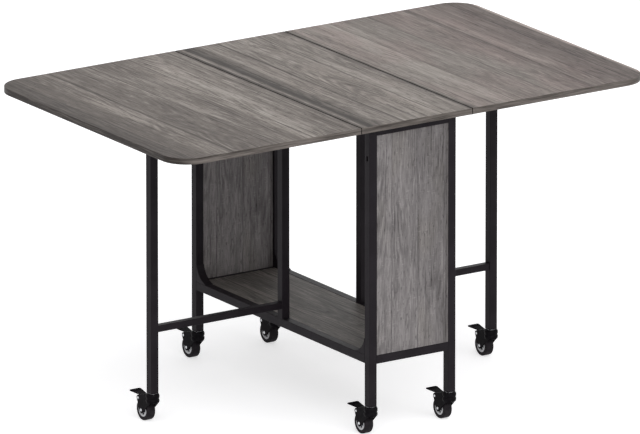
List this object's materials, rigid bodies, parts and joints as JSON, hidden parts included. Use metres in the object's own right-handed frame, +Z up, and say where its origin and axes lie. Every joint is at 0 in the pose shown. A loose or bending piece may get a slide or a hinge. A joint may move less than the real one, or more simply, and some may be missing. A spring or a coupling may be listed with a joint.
{
  "type": "folding dining table",
  "caption": "Gate-leg folding dining table: a narrow tube base with end panels and a shelf, hinged drop leaves held up by swing-out gates, on braked swivel castors.",
  "frame": {"origin": "on the floor under the middle of the base, which is the middle of the table top", "axes": "+X along the table's length to the right leaf, +Y across its depth to the back, +Z up; the castors trail towards +Y"},
  "size_m": [1.308, 0.835, 0.75],
  "materials": {
    "grey_oak_board": "grey oak laminate, matte",
    "black_steel_tube": "black powder coat, satin",
    "hinge_steel": "zinc plate",
    "castor_steel": "black paint, satin",
    "castor_wheel": "black, matte",
    "black_pad": "black, matte"
  },
  "bodies": {
    "base": {"top_center": "grey_oak_board", "end_panel_front": "grey_oak_board", "end_panel_back": "grey_oak_board", "bottom_shelf": "grey_oak_board", "leg_front_left": "black_steel_tube", "gusset_front_left": "black_steel_tube", "hinge_wing_fixed_left_front": "hinge_steel", "leg_front_right": "black_steel_tube", "gusset_front_right": "black_steel_tube", "hinge_wing_fixed_right_front": "hinge_steel", "leg_back_left": "black_steel_tube", "gusset_back_left": "black_steel_tube", "hinge_wing_fixed_left_back": "hinge_steel", "leg_back_right": "black_steel_tube", "gusset_back_right": "black_steel_tube", "hinge_wing_fixed_right_back": "hinge_steel", "end_rail_lower_front": "black_steel_tube", "end_rail_lower_back": "black_steel_tube", "side_rail_lower_left": "black_steel_tube", "side_rail_lower_right": "black_steel_tube", "end_rail_upper_front": "black_steel_tube", "end_rail_upper_back": "black_steel_tube", "side_rail_upper_left": "black_steel_tube", "side_rail_upper_right": "black_steel_tube"},
    "leaf_left": {"leaf_left": "grey_oak_board", "hinge_wing_leaf_left_front": "hinge_steel", "hinge_wing_leaf_left_back": "hinge_steel"},
    "gate_left": {"gate_stile_left": "black_steel_tube", "gate_post_left": "black_steel_tube", "gate_rail_lower_left": "black_steel_tube", "gate_rail_upper_left": "black_steel_tube", "gate_pad_left": "black_pad"},
    "leaf_right": {"leaf_right": "grey_oak_board", "hinge_wing_leaf_right_front": "hinge_steel", "hinge_wing_leaf_right_back": "hinge_steel"},
    "gate_right": {"gate_stile_right": "black_steel_tube", "gate_post_right": "black_steel_tube", "gate_rail_lower_right": "black_steel_tube", "gate_rail_upper_right": "black_steel_tube", "gate_pad_right": "black_pad"},
    "fork_front_left": {"castor_fork_front_left": "castor_steel"},
    "wheel_front_left": {"castor_wheel_front_left": "castor_wheel"},
    "brake_front_left": {"castor_brake_front_left": "castor_steel"},
    "fork_front_right": {"castor_fork_front_right": "castor_steel"},
    "wheel_front_right": {"castor_wheel_front_right": "castor_wheel"},
    "brake_front_right": {"castor_brake_front_right": "castor_steel"},
    "fork_back_left": {"castor_fork_back_left": "castor_steel"},
    "wheel_back_left": {"castor_wheel_back_left": "castor_wheel"},
    "brake_back_left": {"castor_brake_back_left": "castor_steel"},
    "fork_back_right": {"castor_fork_back_right": "castor_steel"},
    "wheel_back_right": {"castor_wheel_back_right": "castor_wheel"},
    "brake_back_right": {"castor_brake_back_right": "castor_steel"},
    "fork_gate_left": {"castor_fork_gate_left": "castor_steel"},
    "wheel_gate_left": {"castor_wheel_gate_left": "castor_wheel"},
    "brake_gate_left": {"castor_brake_gate_left": "castor_steel"},
    "fork_gate_right": {"castor_fork_gate_right": "castor_steel"},
    "wheel_gate_right": {"castor_wheel_gate_right": "castor_wheel"},
    "brake_gate_right": {"castor_brake_gate_right": "castor_steel"}
  },
  "joints": [
    {"name": "leaf_left_lift", "type": "hinge", "parent": "base", "child": "leaf_left", "pos_m": [-0.153, 0, 0.7317], "axis": [0, 1, 0], "range_deg": [0, 5]},
    {"name": "leaf_right_lift", "type": "hinge", "parent": "base", "child": "leaf_right", "pos_m": [0.153, 0, 0.7317], "axis": [0, -1, 0], "range_deg": [0, 5]},
    {"name": "gate_left_swing", "type": "hinge", "parent": "base", "child": "gate_left", "pos_m": [-0.109, 0, 0.45], "axis": [0, 0, -1], "range_deg": [-84.7, 0]},
    {"name": "gate_right_swing", "type": "hinge", "parent": "base", "child": "gate_right", "pos_m": [0.109, 0, 0.45], "axis": [0, 0, 1], "range_deg": [-84.7, 0]},
    {"name": "castor_front_left_swivel", "type": "hinge", "parent": "base", "child": "fork_front_left", "pos_m": [-0.109, -0.365, 0.08], "axis": [0, 0, -1], "continuous": true},
    {"name": "castor_front_left_roll", "type": "hinge", "parent": "fork_front_left", "child": "wheel_front_left", "pos_m": [-0.109, -0.3369, 0.025], "axis": [1, 0, 0], "continuous": true},
    {"name": "castor_front_left_brake_press", "type": "hinge", "parent": "fork_front_left", "child": "brake_front_left", "pos_m": [-0.109, -0.324, 0.052], "axis": [-1, 0, 0], "range_deg": [0, 16]},
    {"name": "castor_front_right_swivel", "type": "hinge", "parent": "base", "child": "fork_front_right", "pos_m": [0.109, -0.365, 0.08], "axis": [0, 0, 1], "continuous": true},
    {"name": "castor_front_right_roll", "type": "hinge", "parent": "fork_front_right", "child": "wheel_front_right", "pos_m": [0.109, -0.3369, 0.025], "axis": [1, 0, 0], "continuous": true},
    {"name": "castor_front_right_brake_press", "type": "hinge", "parent": "fork_front_right", "child": "brake_front_right", "pos_m": [0.109, -0.324, 0.052], "axis": [-1, 0, 0], "range_deg": [0, 16]},
    {"name": "castor_back_left_swivel", "type": "hinge", "parent": "base", "child": "fork_back_left", "pos_m": [-0.109, 0.365, 0.08], "axis": [0, 0, -1], "continuous": true},
    {"name": "castor_back_left_roll", "type": "hinge", "parent": "fork_back_left", "child": "wheel_back_left", "pos_m": [-0.109, 0.3931, 0.025], "axis": [1, 0, 0], "continuous": true},
    {"name": "castor_back_left_brake_press", "type": "hinge", "parent": "fork_back_left", "child": "brake_back_left", "pos_m": [-0.109, 0.406, 0.052], "axis": [-1, 0, 0], "range_deg": [0, 16]},
    {"name": "castor_back_right_swivel", "type": "hinge", "parent": "base", "child": "fork_back_right", "pos_m": [0.109, 0.365, 0.08], "axis": [0, 0, 1], "continuous": true},
    {"name": "castor_back_right_roll", "type": "hinge", "parent": "fork_back_right", "child": "wheel_back_right", "pos_m": [0.109, 0.3931, 0.025], "axis": [1, 0, 0], "continuous": true},
    {"name": "castor_back_right_brake_press", "type": "hinge", "parent": "fork_back_right", "child": "brake_back_right", "pos_m": [0.109, 0.406, 0.052], "axis": [-1, 0, 0], "range_deg": [0, 16]},
    {"name": "castor_gate_left_swivel", "type": "hinge", "parent": "gate_left", "child": "fork_gate_left", "pos_m": [-0.471, 0, 0.08], "axis": [0, 0, -1], "continuous": true},
    {"name": "castor_gate_left_roll", "type": "hinge", "parent": "fork_gate_left", "child": "wheel_gate_left", "pos_m": [-0.471, 0.0281, 0.025], "axis": [1, 0, 0], "continuous": true},
    {"name": "castor_gate_left_brake_press", "type": "hinge", "parent": "fork_gate_left", "child": "brake_gate_left", "pos_m": [-0.471, 0.041, 0.052], "axis": [-1, 0, 0], "range_deg": [0, 16]},
    {"name": "castor_gate_right_swivel", "type": "hinge", "parent": "gate_right", "child": "fork_gate_right", "pos_m": [0.471, 0, 0.08], "axis": [0, 0, 1], "continuous": true},
    {"name": "castor_gate_right_roll", "type": "hinge", "parent": "fork_gate_right", "child": "wheel_gate_right", "pos_m": [0.471, 0.0281, 0.025], "axis": [1, 0, 0], "continuous": true},
    {"name": "castor_gate_right_brake_press", "type": "hinge", "parent": "fork_gate_right", "child": "brake_gate_right", "pos_m": [0.471, 0.041, 0.052], "axis": [-1, 0, 0], "range_deg": [0, 16]}
  ]
}
